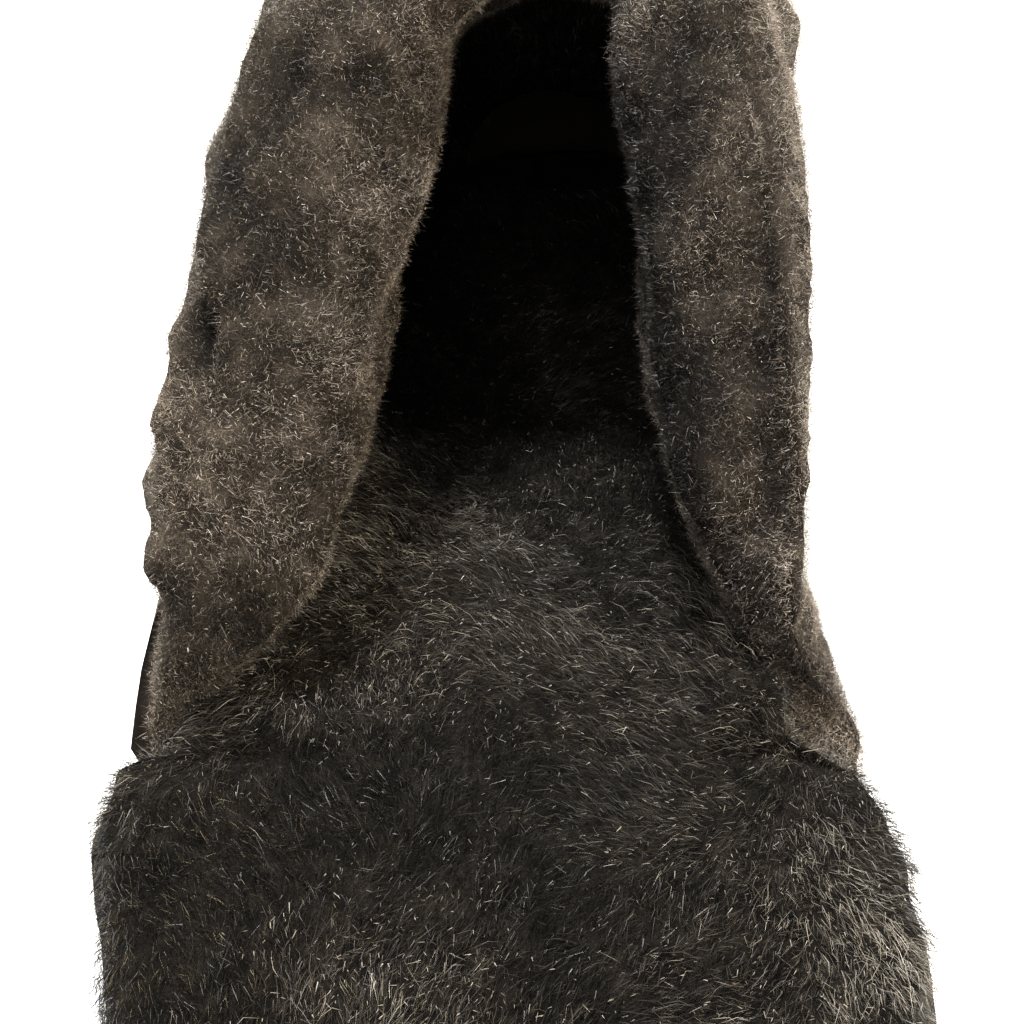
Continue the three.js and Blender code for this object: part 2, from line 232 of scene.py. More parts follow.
def cuff_point(angle, along, depth):
    step = 0.01
    edge = last_point(collar_at(angle + step), angle + step, 0)
    edge = unit(edge - last_point(collar_at(angle - step), angle - step, 0))
    slant = np.hypot(edge[..., 0], edge[..., 2])
    at = collar_at(angle) + along / slant / SOLE_LENGTH
    return last_point(at, angle, 0) - last_normal(at, angle) * np.asarray(depth)[..., None]


def cuff_wool_row(angle, row):
    outside, leg, over, depth = CUFF_WOOL[row]
    rise = np.sin(angle)
    lump = 1 + CUFF_LUMP["depth"] * np.sin(CUFF_LUMP["per_turn"] * angle + CUFF_LUMP["per_row"] * row)
    legs = read_table(CUFF, OUTER_LEG if outside else INNER_LEG, rise)
    along = leg * legs - over * read_table(CUFF, CUFF_TOP, rise)
    pressed = 1 - CUFF_PRESSED * np.sin(angle / 2) ** 2 * outside
    pile = depth * lump * pressed * read_table(CUFF, CUFF_OUTSIDE if outside else CUFF_INSIDE, rise)
    return cuff_point(angle, along, -pile if outside else WALL + pile)


def footbed_point(at, across, up, outward):
    inset = read_table(FOOTBED, INSET, at)
    x = centre_at(at) + outward * across * half_width(at, outward, inset)
    z = seat_at(at) + up * read_table(FOOTBED, WOOL, at)
    return xyz(x, at * SOLE_LENGTH, z)


def sole_places(count):
    """Shares of the sole's length, closer together at both ends."""
    return (1 - np.cos(np.pi * np.linspace(0, 1, count))) / 2 * (1 - 2 * END_TRIM) + END_TRIM


# The shift from the last's axes to the row's frame, read from the outsole's box
def row_shift():
    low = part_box("outsole")[0]
    places = sole_places(SOLE_STATIONS)
    left = centre_at(places) - half_width(places, -1, 0)
    return np.array([low.x / MM - left.min(), low.y / MM - END_TRIM * SOLE_LENGTH, 0.0])


SHIFT = row_shift()

# Fades, noise and grids
# Large odd factors that mix a corner's whole numbers
CORNER_FACTORS = (374761393, 668265263, 1440662683)
SEED_FACTOR = 974711
MIXING_FACTOR = 1274126177
LOW_32_BITS = 0xFFFFFFFF
LOW_16_BITS = 0xFFFF
# A turned set of axes, so that no lump lines up with the slipper
NOISE_AXES = np.array([(0.36, 0.48, -0.8), (-0.8, 0.6, 0.0), (0.48, 0.64, 0.6)])


def fade(low, high, value):
    """From 0 at the low value to 1 at the high one, smoothly."""
    share = np.clip((value - low) / (high - low), 0, 1)
    return share * share * (3 - 2 * share)


def lattice(corner, seed):
    """A repeatable number from 0 to 1 for each whole-numbered corner."""
    mixed = seed * SEED_FACTOR
    for axis, factor in enumerate(CORNER_FACTORS):
        mixed = mixed + corner[..., axis] * factor
    mixed = (mixed ^ (mixed >> 13)) & LOW_32_BITS
    mixed = (mixed * MIXING_FACTOR) & LOW_32_BITS
    return ((mixed ^ (mixed >> 16)) & LOW_16_BITS) / LOW_16_BITS


def noise(points, size, seed):
    """Smooth noise from -1 to 1, its lumps' size in millimetres."""
    scaled = points @ NOISE_AXES / size
    base = np.floor(scaled).astype(np.int64)
    share = fade(0, 1, scaled - base)
    total = np.zeros(points.shape[:-1])
    for corner in np.ndindex(2, 2, 2):
        weight = np.ones_like(total)
        for axis in range(3):
            weight = weight * (share[..., axis] if corner[axis] else 1 - share[..., axis])
        total = total + weight * lattice(base + np.array(corner), seed)
    return 2 * total - 1


def layered(points, layers):
    """The sum of noises, each given by its height, size and seed."""
    total = 0
    for height, size, seed in layers:
        total = total + height * noise(points, size, seed)
    return total


def smooth_rows(points, count):
    """More rows, by a smooth curve through each column of a stack of rows."""
    rows = len(points)
    places = np.linspace(0, rows - 1, count)
    row = np.clip(np.floor(places).astype(int), 0, rows - 2)
    share = (places - row)[:, None, None]
    before = points[np.maximum(row - 1, 0)]
    here = points[row]
    ahead = points[row + 1]
    after = points[np.minimum(row + 2, rows - 1)]
    return curve(share, here, ahead, (ahead - before) / 2, (after - here) / 2)


def grid_normals(points):
    return unit(np.cross(*np.gradient(points, axis=(0, 1))))


def grid_faces(rows, columns, start=0, wrapped=False):
    across = columns if wrapped else columns - 1
    row, column = np.meshgrid(np.arange(rows - 1), np.arange(across), indexing="ij")
    beside = (column + 1) % columns
    here = start + row * columns + column
    next_here = start + row * columns + beside
    return np.stack([here, next_here, next_here + columns, here + columns], axis=-1).reshape(-1, 4)


def strip_faces(low, high, start):
    """Faces between an edge of one sheet and the same edge of another that begins at start."""
    return np.stack([low, high, start + high, start + low], axis=-1)


def shell_faces(over, along):
    """Faces of two sheets, joined along the first edge and both sides."""
    start = over * along
    first = np.arange(over - 1) * along
    side = np.arange(along - 1)
    far_side = (over - 1) * along + side
    return [
        grid_faces(over, along),
        grid_faces(over, along, start)[:, ::-1],
        strip_faces(first, first + along, start)[:, ::-1],
        strip_faces(side, side + 1, start),
        strip_faces(far_side, far_side + 1, start)[:, ::-1],
    ]


# Objects
def add_object(name, data):
    thing = bpy.data.objects.new(name, data)
    bpy.context.collection.objects.link(thing)
    return thing


def mesh_object(name, points, faces, ends=()):
    """A mesh from points in the last's axes, with smooth equal faces and flat ends of more corners."""
    mesh = bpy.data.meshes.new(name)
    loops = np.concatenate([faces.ravel(), *[np.asarray(end) for end in ends]]).astype(np.int32)
    sizes = np.concatenate([np.full(len(faces), faces.shape[1]), [len(end) for end in ends]]).astype(np.int32)
    loop_starts = np.concatenate([[0], np.cumsum(sizes)[:-1]]).astype(np.int32)
    mesh.vertices.add(len(points))
    mesh.vertices.foreach_set("co", ((points + SHIFT) * MM).astype(np.float32).ravel())
    mesh.loops.add(len(loops))
    mesh.loops.foreach_set("vertex_index", loops)
    mesh.polygons.add(len(sizes))
    mesh.polygons.foreach_set("loop_start", loop_starts)
    mesh.polygons.foreach_set("use_smooth", np.arange(len(sizes)) < len(faces))
    mesh.update(calc_edges=True)
    mesh.validate()
    return add_object(name, mesh)


def tube_object(name, points, turned=False):
    """A closed mesh from rings of points, with a flat face at each end."""
    rows, size = points.shape[:2]
    faces = grid_faces(rows, size, wrapped=True)
    first = np.arange(size)
    last = (rows - 1) * size + first
    ends = [first[::-1], last]
    if turned:
        faces = faces[:, ::-1]
        ends = [first, last[::-1]]
    return mesh_object(name, points.reshape(-1, 3), faces, ends)


def dress(piece, material, node=None):
    piece.data.materials.append(material)
    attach(piece, "root")
    if node:
        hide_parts(node)


# Materials
# Sockets of the mix node when it mixes colours
MIX_FIRST, MIX_SECOND, MIX_RESULT = 6, 7, 2
GRAIN_DETAIL = 6.0
GRAIN_ROUGHNESS = {"coarse": 0.6, "fine": 0.7}
GRAIN_SHARE = {"coarse": 0.55, "fine": 0.45}
HAIR_MAP = "OFBake"
TONE_ATTRIBUTE = "tone"


def set_inputs(node, values):
    for name, value in values.items():
        node.inputs[name].default_value = value


def new_material(name, values):
    material = bpy.data.materials.new(name)
    material.use_nodes = True
    shader = material.node_tree.nodes["Principled BSDF"]
    set_inputs(shader, values)
    return material, shader


def add_node(material, kind, inputs=None, **settings):
    node = material.node_tree.nodes.new("ShaderNode" + kind)
    for name, value in settings.items():
        setattr(node, name, value)
    set_inputs(node, inputs or {})
    return node


def join(source, target):
    source.id_data.links.new(source, target)


def ramp(material, value, stops):
    node = add_node(material, "ValToRGB")
    elements = node.color_ramp.elements
    while len(elements) < len(stops):
        elements.new(0.5)
    for element, (place, colour) in zip(elements, stops):
        element.position = place
        element.color = (*colour, 1)
    join(value, node.inputs["Fac"])
    return node.outputs["Color"]


def multiplied(material, first, second):
    node = add_node(material, "Mix", {"Factor": 1.0}, data_type="RGBA", blend_type="MULTIPLY")
    join(first, node.inputs[MIX_FIRST])
    join(second, node.inputs[MIX_SECOND])
    return node.outputs[MIX_RESULT]


def textured(name, values, stops, scales, bump, depth):
    """A material whose colour and bump follow coarse and fine noise on the object."""
    material, shader = new_material(name, values)
    place = add_node(material, "TexCoord")
    grain = {}
    for kind, scale in zip(("coarse", "fine"), scales):
        inputs = {"Scale": scale, "Detail": GRAIN_DETAIL, "Roughness": GRAIN_ROUGHNESS[kind]}
        node = add_node(material, "TexNoise", inputs)
        join(place.outputs["Object"], node.inputs["Vector"])
        grain[kind] = node.outputs["Fac"]
    coarse_part = add_node(material, "Math", operation="MULTIPLY")
    coarse_part.inputs[1].default_value = GRAIN_SHARE["coarse"]
    join(grain["coarse"], coarse_part.inputs[0])
    mixed = add_node(material, "Math", operation="MULTIPLY_ADD")
    mixed.inputs[1].default_value = GRAIN_SHARE["fine"]
    join(grain["fine"], mixed.inputs[0])
    join(coarse_part.outputs[0], mixed.inputs[2])
    colour = ramp(material, mixed.outputs[0], stops)
    join(colour, shader.inputs["Base Color"])
    height = add_node(material, "Bump", {"Strength": bump, "Distance": depth})
    join(grain["fine"], height.inputs["Height"])
    join(height.outputs["Normal"], shader.inputs["Normal"])
    return material, shader, colour


def hair_material(name, stops, root_level, middle_level):
    """Wool hair: its tone runs across the map and its shade from root to tip up the map."""
    material, shader = new_material(name, {"Roughness": 0.45, "Specular IOR Level": 0.4})
    place = add_node(material, "UVMap", uv_map=HAIR_MAP)
    parts = add_node(material, "SeparateXYZ")
    join(place.outputs["UV"], parts.inputs["Vector"])
    tone = ramp(material, parts.outputs["X"], stops)
    root_to_tip = [(0.0, [root_level] * 3), (0.5, [middle_level] * 3), (1.0, [1.0] * 3)]
    shade = ramp(material, parts.outputs["Y"], root_to_tip)
    join(multiplied(material, tone, shade), shader.inputs["Base Color"])
    return material


def make_suede():
    sheen = {"Sheen Weight": 0.15, "Sheen Roughness": 0.5, "Sheen Tint": (0.32, 0.25, 0.19, 1)}
    values = {"Roughness": 0.95, "Specular IOR Level": 0.15, **sheen}
    stops = [(0.3, (0.008, 0.0061, 0.0046)), (0.55, (0.015, 0.0114, 0.0085)), (0.75, (0.025, 0.019, 0.014))]
    return textured("suede_nap", values, stops, scales=(90.0, 2600.0), bump=0.5, depth=0.0004)[0]


def make_rubber():
    values = {"Roughness": 0.85, "Specular IOR Level": 0.12}
    stops = [(0.3, (0.009, 0.008, 0.007)), (0.7, (0.02, 0.0175, 0.015))]
    return textured("sole_rubber", values, stops, scales=(60.0, 1500.0), bump=0.35, depth=0.0003)[0]


def make_thread():
    values = {"Roughness": 0.8, "Specular IOR Level": 0.1}
    stops = [(0.3, (0.014, 0.011, 0.009)), (0.7, (0.03, 0.024, 0.019))]
    return textured("thread", values, stops, scales=(400.0, 5000.0), bump=0.4, depth=0.0001)[0]


WOOL_BASE = {"Roughness": 1.0, "Specular IOR Level": 0.1}
WOOL_BUMP = {"bump": 1.0, "depth": 0.0008}


def make_footbed_base():
    stops = [(0.37, (0.002, 0.0017, 0.0013)), (0.5, (0.007, 0.0059, 0.0046)), (0.63, (0.022, 0.0183, 0.0143))]
    return textured("footbed_wool_base", WOOL_BASE, stops, scales=(260.0, 3200.0), **WOOL_BUMP)[0]


def make_cuff_base():
    """Wool that is darker or lighter by the tone at each point of the cuff's mesh, a tone that holds painted
    light and painted shade as well as random tone.
    """
    stops = [(0.37, (0.006, 0.0047, 0.0036)), (0.5, (0.022, 0.0173, 0.0131)), (0.62, (0.075, 0.06, 0.0455))]
    material, shader, colour = textured(
        "cuff_wool_base", WOOL_BASE, stops, scales=(200.0, 4800.0), **WOOL_BUMP,
    )
    tones = add_node(material, "Attribute", attribute_name=TONE_ATTRIBUTE)
    tone_to_gain = {"From Min": -0.7, "From Max": 0.7, "To Min": 0.25, "To Max": 1.75}
    gain = add_node(material, "MapRange", tone_to_gain)
    join(tones.outputs["Fac"], gain.inputs["Value"])
    join(multiplied(material, colour, gain.outputs["Result"]), shader.inputs["Base Color"])
    return material


def make_cuff_hair():
    stops = [
        (0.0, (0.02, 0.0157, 0.0118)), (0.4, (0.105, 0.083, 0.0625)),
        (0.75, (0.24, 0.195, 0.151)), (1.0, (0.56, 0.48, 0.39)),
    ]
    return hair_material("cuff_hair", stops, root_level=0.45, middle_level=0.8)


def make_footbed_hair():
    stops = [
        (0.0, (0.005, 0.0042, 0.0032)), (0.35, (0.027, 0.0226, 0.0178)),
        (0.7, (0.085, 0.0725, 0.057)), (1.0, (0.42, 0.372, 0.3)),
    ]
    return hair_material("footbed_hair", stops, root_level=0.35, middle_level=0.7)


SUEDE = make_suede()
RUBBER = make_rubber()
FOOTBED_BASE = make_footbed_base()
CUFF_BASE = make_cuff_base()
THREAD = make_thread()
CUFF_HAIR = make_cuff_hair()
FOOTBED_HAIR = make_footbed_hair()

# Wool hairs as narrow ribbons, scattered over a grid by area
# Each spread is the least share and how much chance adds to it
LEAN_SPREAD = (0.55, 0.75)
WIDTH_SPREAD = (0.7, 0.6)
PULL_SPREAD = (0.4, 0.6)
# How much a painted glint of light adds to a glinting hair's tone
GLINT_SPREAD = (0.35, 0.25)
LENGTH_POWER = 3
BEND_SHARE = 0.3
CRIMP_TURN = 1.5
TIP_NARROWING = 0.55
LOCK_TONE = 0.25
HAIR_TONE = 0.14
TONE_LIMITS = (0.01, 0.97)
MAP_WIDTH = 0.02


def spread(limits, count):
    least, extra = limits
    return least + extra * random.random(count)


def scatter(points, normals, weights, count):
    """Roots, normals and cell places of hairs spread over a grid of points."""
    edge_a = points[1:, :-1] - points[:-1, :-1]
    edge_b = points[:-1, 1:] - points[:-1, :-1]
    area = np.linalg.norm(np.cross(edge_a, edge_b), axis=-1) * weights[:-1, :-1]
    chance = np.cumsum(area.ravel())
    cell = np.searchsorted(chance, random.random(count) * chance[-1])
    row, column = np.unravel_index(np.minimum(cell, area.size - 1), area.shape)
    share_a = random.random(count)[:, None]
    share_b = random.random(count)[:, None]

    def between(field):
        low = field[row, column] * (1 - share_a) + field[row + 1, column] * share_a
        high = field[row, column + 1] * (1 - share_a) + field[row + 1, column + 1] * share_a
        return low * (1 - share_b) + high * share_b

    return between(points), unit(between(normals)), row, column


def clumped(roots, tips, spacing, pull):
    """Tips drawn towards the tip of the hair that leads each lock."""
    leaders = random.choice(len(roots), size=max(2, int(len(roots) / spacing)), replace=False)
    tree = kdtree.KDTree(len(leaders))
    for i, leader in enumerate(leaders):
        tree.insert(roots[leader], i)
    tree.balance()
    nearest = leaders[np.array([tree.find(root)[1] for root in roots])]
    share = pull * spread(PULL_SPREAD, len(roots))[:, None]
    return tips + (tips[nearest] - tips) * share, nearest


def hair_faces(count, steps):
    """Triangles of ribbons that narrow to a point."""
    per_hair = 2 * steps + 1
    pattern = []
    for step in range(steps - 1):
        low = 2 * step
        pattern += [(low, low + 1, low + 3), (low, low + 3, low + 2)]
    pattern.append((per_hair - 3, per_hair - 2, per_hair - 1))
    return (np.arange(count)[:, None, None] * per_hair + np.array(pattern)[None]).reshape(-1, 3)


def hair_tones(tones, style, leader):
    count = len(leader)
    lock_tone = LOCK_TONE * (random.random(count)[leader] - 0.5)
    tone = style["tone"] + tones + lock_tone + HAIR_TONE * random.normal(size=count)
    # A share of hairs painted bright, as painted glints of light
    painted_glints = random.random(count) < style["painted_glints"]
    tone = np.where(painted_glints, tone + spread(GLINT_SPREAD, count), tone)
    return np.clip(tone, *TONE_LIMITS)


def hairs(name, roots, normals, combs, tones, style, material):
    """One mesh of ribbons that leave along the normals and bend over to the combed tips."""
    count = len(roots)
    low, high = style["level"]
    roots = roots + normals * (low + (high - low) * random.random(count))[:, None]
    short, long = style["length"]
    length = (short + (long - short) * random.random(count) ** LENGTH_POWER)[:, None]
    lean = style["lean"] * spread(LEAN_SPREAD, count)[:, None]
    stray = combs + style["stray"] * random.normal(size=(count, 3))
    heading = unit(normals * np.cos(lean) + stray * np.sin(lean))
    tips, leader = clumped(roots, roots + heading * length, style["lock"], style["pull"])
    bend = roots + normals * length * style["rise"] + (tips - roots) * BEND_SHARE
    steps = style["steps"]
    twist = unit(np.cross(heading, random.normal(size=(count, 3))))
    width = style["width"] * spread(WIDTH_SPREAD, count)[:, None]
    crimp = style["crimp"] * random.normal(size=(count, 3))
    rows = []
    heights = []
    for step in range(steps):
        share = step / steps
        rest = 1 - share
        place = roots * rest**2 + bend * 2 * share * rest + tips * share**2
        place = place + crimp * math.sin(math.pi * share * CRIMP_TURN)
        half = twist * width * (1 - TIP_NARROWING * share) / 2
        rows += [place - half, place + half]
        heights += [share, share]
    rows.append(tips)
    heights.append(1.0)
    points = np.stack(rows, axis=1).reshape(-1, 3)
    faces = hair_faces(count, steps)
    piece = mesh_object(name, points, faces)
    tone = hair_tones(tones, style, leader)
    side = np.array([0, MAP_WIDTH] * steps + [MAP_WIDTH / 2])
    across = (tone[:, None] + side[None]).ravel()
    along = np.tile(heights, count)
    layer = piece.data.uv_layers.new(name=HAIR_MAP)
    places = np.stack([across, along], axis=-1)[faces.ravel()]
    layer.data.foreach_set("uv", places.astype(np.float32).ravel())
    dress(piece, material)


# Outsole with a line round its side and a shallow wavy tread
# Its side from foot to shoulder: in by bevels and a share of the width, up by bevels and a share of the rest
SOLE_SIDE = [
    (0.6, 0, 0.15, 0), (0.2, 0, 0.55, 0), (0, 0, 1, 0), (0, 0, 1, 0.3), (0, 0, 1, 0.49), (0, 0.012, 1, 0.55),
    (0, 0, 1, 0.61), (0, 0, 1, 0.85), (0, 0, 1, 1), (0.12, 0, 1.3, 1), (0.5, 0, 1.5, 1),
]
SOLE_SIDE_BEVELS = 1.5
TREAD = {"pitch": 7.5, "depth": 1.1, "wave": 3, "wave_length": 6, "flank": (0.3, 0.42)}
TREAD_FROM_SIDE = (0, 9)
TREAD_FROM_END = (6, 14)
# Shares of the length between which the arch has no tread
ARCH_START = (0.34, 0.38)
ARCH_STOP = (0.5, 0.54)


def make_outsole():
    stations = 300
    columns = 36
    places = sole_places(stations)
    along = places * SOLE_LENGTH
    under = read_table(SOLE_HEIGHTS, UNDER, places)
    top = read_table(SOLE_HEIGHTS, TOP, places)
    centre = centre_at(places)
    left = half_width(places, -1, 0)
    right = half_width(places, 1, 0)
    bevel = SOLE_BEVEL / read_table(OUTLINE, LATERAL, places)
    share = np.linspace(-1, 1, columns)[:, None] * (1 - bevel)
    x = centre + np.where(share < 0, share * left, share * right)
    wave = (along + TREAD["wave"] * np.sin(x / TREAD["wave_length"])) / TREAD["pitch"]
    groove = fade(*TREAD["flank"], np.abs(wave - np.round(wave)))
    inland = fade(*TREAD_FROM_SIDE, np.minimum(x - centre + left, centre + right - x))
    inland = inland * fade(*TREAD_FROM_END, np.minimum(along, SOLE_LENGTH - along))
    inland = inland * (1 - fade(*ARCH_START, places) * (1 - fade(*ARCH_STOP, places)))
    bottom = xyz(x, along, under + TREAD["depth"] * groove * inland)
    rest = top - under - SOLE_SIDE_BEVELS * SOLE_BEVEL

    def side(outward, half):
        rows = []
        for bevels_in, cut, bevels_up, up in SOLE_SIDE:
            width = half * (1 - bevels_in * bevel - cut)
            rows.append(xyz(centre + outward * width, along, under + bevels_up * SOLE_BEVEL + up * rest))
        return rows

    loops = [*bottom, *side(1, right), *side(-1, left)[::-1]]
    piece = tube_object("outsole_rubber", np.stack(loops, axis=1), turned=True)
    dress(piece, RUBBER, "outsole")


# Creases of the suede: share of the length, angle over the foot in degrees, turn, length,
# width and depth in millimetres; a negative depth is a ridge
CREASES = [
    (0.70, 38, 20, 34, 5.5, 1.5),
    (0.735, 34, 28, 26, 5, -0.9),
    (0.76, 46, 16, 30, 5, 1.2),
    (0.70, 142, -20, 32, 5.5, 1.5),
    (0.735, 146, -28, 24, 5, -0.9),
    (0.765, 132, -14, 28, 5, 1.1),
    (0.55, 16, 62, 30, 6, 1.1),
    (0.56, 164, -62, 28, 6, 1.1),
    (0.84, 70, 80, 34, 7, 0.8),
    (0.845, 112, -80, 30, 7, 0.8),
]
# The shell's radius as a share of its ridge, and the bow of a crease
CREASE_RADIUS = 0.8
CREASE_BOW = 0.006
# Where creases fade: millimetres from the cuff's leg, rise over the foot, share before the toe
CREASE_FROM_CUFF = (8, 22)
CREASE_LEG = 0.9
CREASE_RISE = (0.02, 0.2)
CREASE_FROM_TOE = (0.02, 0.1)
# A soft unevenness and where it fades: rise, shares before the toe and from the collar
UNEVEN = (0.25, 17.0, 3)
UNEVEN_RISE = (0.05, 0.3)
UNEVEN_FROM_TOE = (0.03, 0.1)
UNEVEN_FROM_COLLAR = (0.0, 0.12)
# Nearer to the toe than this, the last's normals are read here
LAST_NORMAL_AT = 0.985

# Degrees, swell in millimetres: the suede's rear edge stands out at the foot of the outer side and is
# pinched on the inner side, both fading forward over a stretch of the length
EDGE_SWELL = np.array([
    (0, 4.6), (5, 4.4), (11, 2.4), (17, 0), (150, 0), (163, -3.4), (169, -5), (174, -2), (180, 0),
])
EDGE_SWELL_FADE = (0.05, 0.2)


def edge_swell(at, angle):
    behind = 1 - fade(*EDGE_SWELL_FADE, at - collar_at(angle))
    return read_table(EDGE_SWELL, VALUE, np.degrees(angle)) * behind


def creased(at, angle):
    """How far the creases press the suede in, in millimetres."""
    radius = read_table(SECTIONS, RIDGE, at) * CREASE_RADIUS
    pressed = np.zeros(np.broadcast(at, angle).shape)
    for place, degrees, turn, length, width, depth in CREASES:
        along = (at - place) * SOLE_LENGTH
        over = (angle - math.radians(degrees)) * radius
        cosine = math.cos(math.radians(turn))
        sine = math.sin(math.radians(turn))
        lengthwise = over * cosine + along * sine
        crosswise = along * cosine - over * sine + CREASE_BOW * lengthwise**2
        pressed = pressed + depth * np.exp(-((lengthwise / length * 2) ** 2) - (crosswise / width * 2) ** 2)
    leg = read_table(CUFF, OUTER_LEG, np.sin(angle)) * CREASE_LEG
    clear = fade(*CREASE_FROM_CUFF, (at - collar_at(angle)) * SOLE_LENGTH - leg)
    clear = clear * fade(*CREASE_RISE, np.sin(angle)) * fade(*CREASE_FROM_TOE, 1 - at)
    return pressed * clear


def suede_face(angle, ease, depth):
    """The suede's outer face, or its inner face at the wall's depth."""
    collar = collar_at(angle)
    toe = 1 - (SOLE_LIP + depth) / SOLE_LENGTH - FINE_TRIM
    at = collar + (toe - collar) * ease
    points = last_point(at, angle, depth)
    normals = last_normal(np.minimum(at, LAST_NORMAL_AT), angle)
    soft = layered(points, [UNEVEN]) * fade(*UNEVEN_RISE, np.sin(angle))
    soft = soft * fade(*UNEVEN_FROM_TOE, 1 - at) * fade(*UNEVEN_FROM_COLLAR, at - collar)
    return points - normals * (creased(at, angle) + soft - edge_swell(at, angle))[..., None]


def make_upper():
    over = 100
    along = 90
    angle = np.linspace(0, np.pi, over)[:, None]
    ease = np.sin(np.linspace(0, 1, along) * np.pi / 2)[None]
    outer = suede_face(angle, ease, 0)
    inner = suede_face(angle, ease, WALL)
    points = np.concatenate([outer.reshape(-1, 3), inner.reshape(-1, 3)])
    toe_outer = np.arange(over) * along + along - 1
    toe_inner = over * along + toe_outer
    toe_base = np.array([[toe_outer[0], toe_outer[-1], toe_inner[-1], toe_inner[0]]])
    faces = np.concatenate([*shell_faces(over, along), toe_base])
    piece = mesh_object("upper_suede", points, faces, [toe_outer, toe_inner[::-1]])
    dress(piece, SUEDE, "upper")


# A row of stitches round the foot of the suede, in millimetres
STITCH = {"pitch": 4.2, "length": 3.1, "thick": 0.32, "height": 3.0, "sides": 6, "start": 2}
STITCH_ANGLE = math.radians(1.8)
STITCH_SWELL = 0.4
# Shares of the length by which the row stays off the collar's corner and the toe
STITCH_FROM_COLLAR = 0.012
STITCH_FROM_TOE = 0.0015
# Share of a stitch's length and share of its thickness there
STITCH_RINGS = [(0.0, 0.35), (0.12, 0.85), (0.5, 1.0), (0.88, 0.85), (1.0, 0.35)]
STITCH_RISE = 0.1
STITCH_SINK = 0.12
STITCH_STEP = 0.4
# A place inside the shoe, from which stitches face outward
STITCH_INSIDE = np.array([5.0, 190.0, 0.0])
UPWARD = np.array([0.0, 0.0, 1.0])


def stitch_path():
    """A line round the suede's foot, from one corner of the collar to the other."""
    count = 900
    at = np.linspace(COLLAR_CORNER + STITCH_FROM_COLLAR, 1 - SOLE_LIP / SOLE_LENGTH - STITCH_FROM_TOE, count)
    z = seat_at(at) + STITCH["height"]
    outlines = []
    for outward, foot in [(-1, STITCH_ANGLE), (1, np.pi - STITCH_ANGLE)]:
        half = half_width(at, outward, SOLE_LIP) + STITCH_SWELL * edge_swell(at, foot)
        x = centre_at(at) + outward * half
        outlines.append(xyz(x, at * SOLE_LENGTH, z))
    return np.concatenate([outlines[0], outlines[1][::-1]])


def make_stitches():
    sides = STITCH["sides"]
    length = STITCH["length"]
    path = stitch_path()
    steps = np.linalg.norm(np.diff(path, axis=0), axis=1)
    run = np.concatenate([[0], np.cumsum(steps)])
    starts = np.arange(STITCH["start"], run[-1] - length, STITCH["pitch"])
    turn = (np.arange(sides) * 2 * math.pi / sides)[None, :, None]

    def at_run(distance):
        return np.stack([np.interp(distance, run, path[:, axis]) for axis in range(3)], axis=-1)

    rings = []
    for share, size in STITCH_RINGS:
        place = starts + share * length
        middle = at_run(place)
        ahead = unit(at_run(place + STITCH_STEP) - at_run(place - STITCH_STEP))
        outward = unit(np.cross(ahead, UPWARD))
        outward = outward * -np.sign(np.sum(outward * (STITCH_INSIDE - middle), axis=1, keepdims=True))
        middle = middle + outward * (STITCH_RISE * math.sin(math.pi * share) - STITCH_SINK)
        around = outward[:, None] * np.cos(turn) + UPWARD * np.sin(turn)
        rings.append(middle[:, None] + STITCH["thick"] * size * around)
    points = np.stack(rings, axis=1).reshape(-1, 3)
    per_stitch = len(rings) * sides
    pattern = grid_faces(len(rings), sides, wrapped=True)
    firsts = np.arange(len(starts)) * per_stitch
    faces = (firsts[:, None, None] + pattern[None]).reshape(-1, 4)
    ends = []
    for first in firsts:
        ends.append(first + np.arange(sides))
        ends.append(first + per_stitch - 1 - np.arange(sides))
    piece = mesh_object("sole_stitches", points, faces, ends)
    dress(piece, THREAD)


# The footbed: a lumpy bed of wool with long swirled hairs, banked against the sides behind the throat
BANK = {"lateral": 5.0, "medial": 9.0}
# Shares of the half width and of the length over which the bank rises, and over which it falls again
BANK_ACROSS = (0.4, 0.85)
BANK_START = (0.35, 0.37)
BANK_STOP = (0.5, 0.6)
# at, lateral, medial: how far the bed's wool stands out further than its solid, in millimetres
BED_SIDES = np.array([
    (0.0, -0.6, 0.8),
    (0.2, -1, 2),
    (0.24, -1, 2.3),
    (0.28, -0.8, 2),
    (0.305, 0.4, 1.2),
    (0.333, 2, 0.6),
    (0.347, 1.2, 0.3),
    (0.36, 0, 0),
    (1.0, 0, 0),
])
BED_LATERAL, BED_MEDIAL = 1, 2
HEEL_DROP = 0.42
HEEL_DROP_ROUND = (0.045, 2)
# Stations up to, over and after the stretch where the bed narrows at the suede's edge
BED_CORNER = (0.344, 0.366)
BED_STATIONS = (110, 24, 98)
BED_HEEL_CROWDING = 1.6
BED_SECTION_POINTS = 44
BED_LUMPS = [(1.0, 11.0, 11), (0.7, 5.0, 12), (0.3, 1.8, 13)]
# How far the wool's base lies under the solid's face
BED_SINK = 1.8
BED_WOOLLY = (0.1, 0.5)
# Where hairs grow: share of the bed's height, and fewer, then none, under the upper
BED_HAIRY = (0.12, 0.4)
BED_FEWER = 0.9
BED_FEWER_FROM = (0.6, 0.78)
BED_HAIR_STOP = 0.9


def bed_places(heel):
    before, corner, after = BED_STATIONS
    return np.concatenate([
        heel + (BED_CORNER[0] - heel) * np.linspace(0, 1, before) ** BED_HEEL_CROWDING,
        np.linspace(*BED_CORNER, corner)[1:],
        np.linspace(BED_CORNER[1], FOOTBED_TOE, after)[1:],
    ])[:, None]


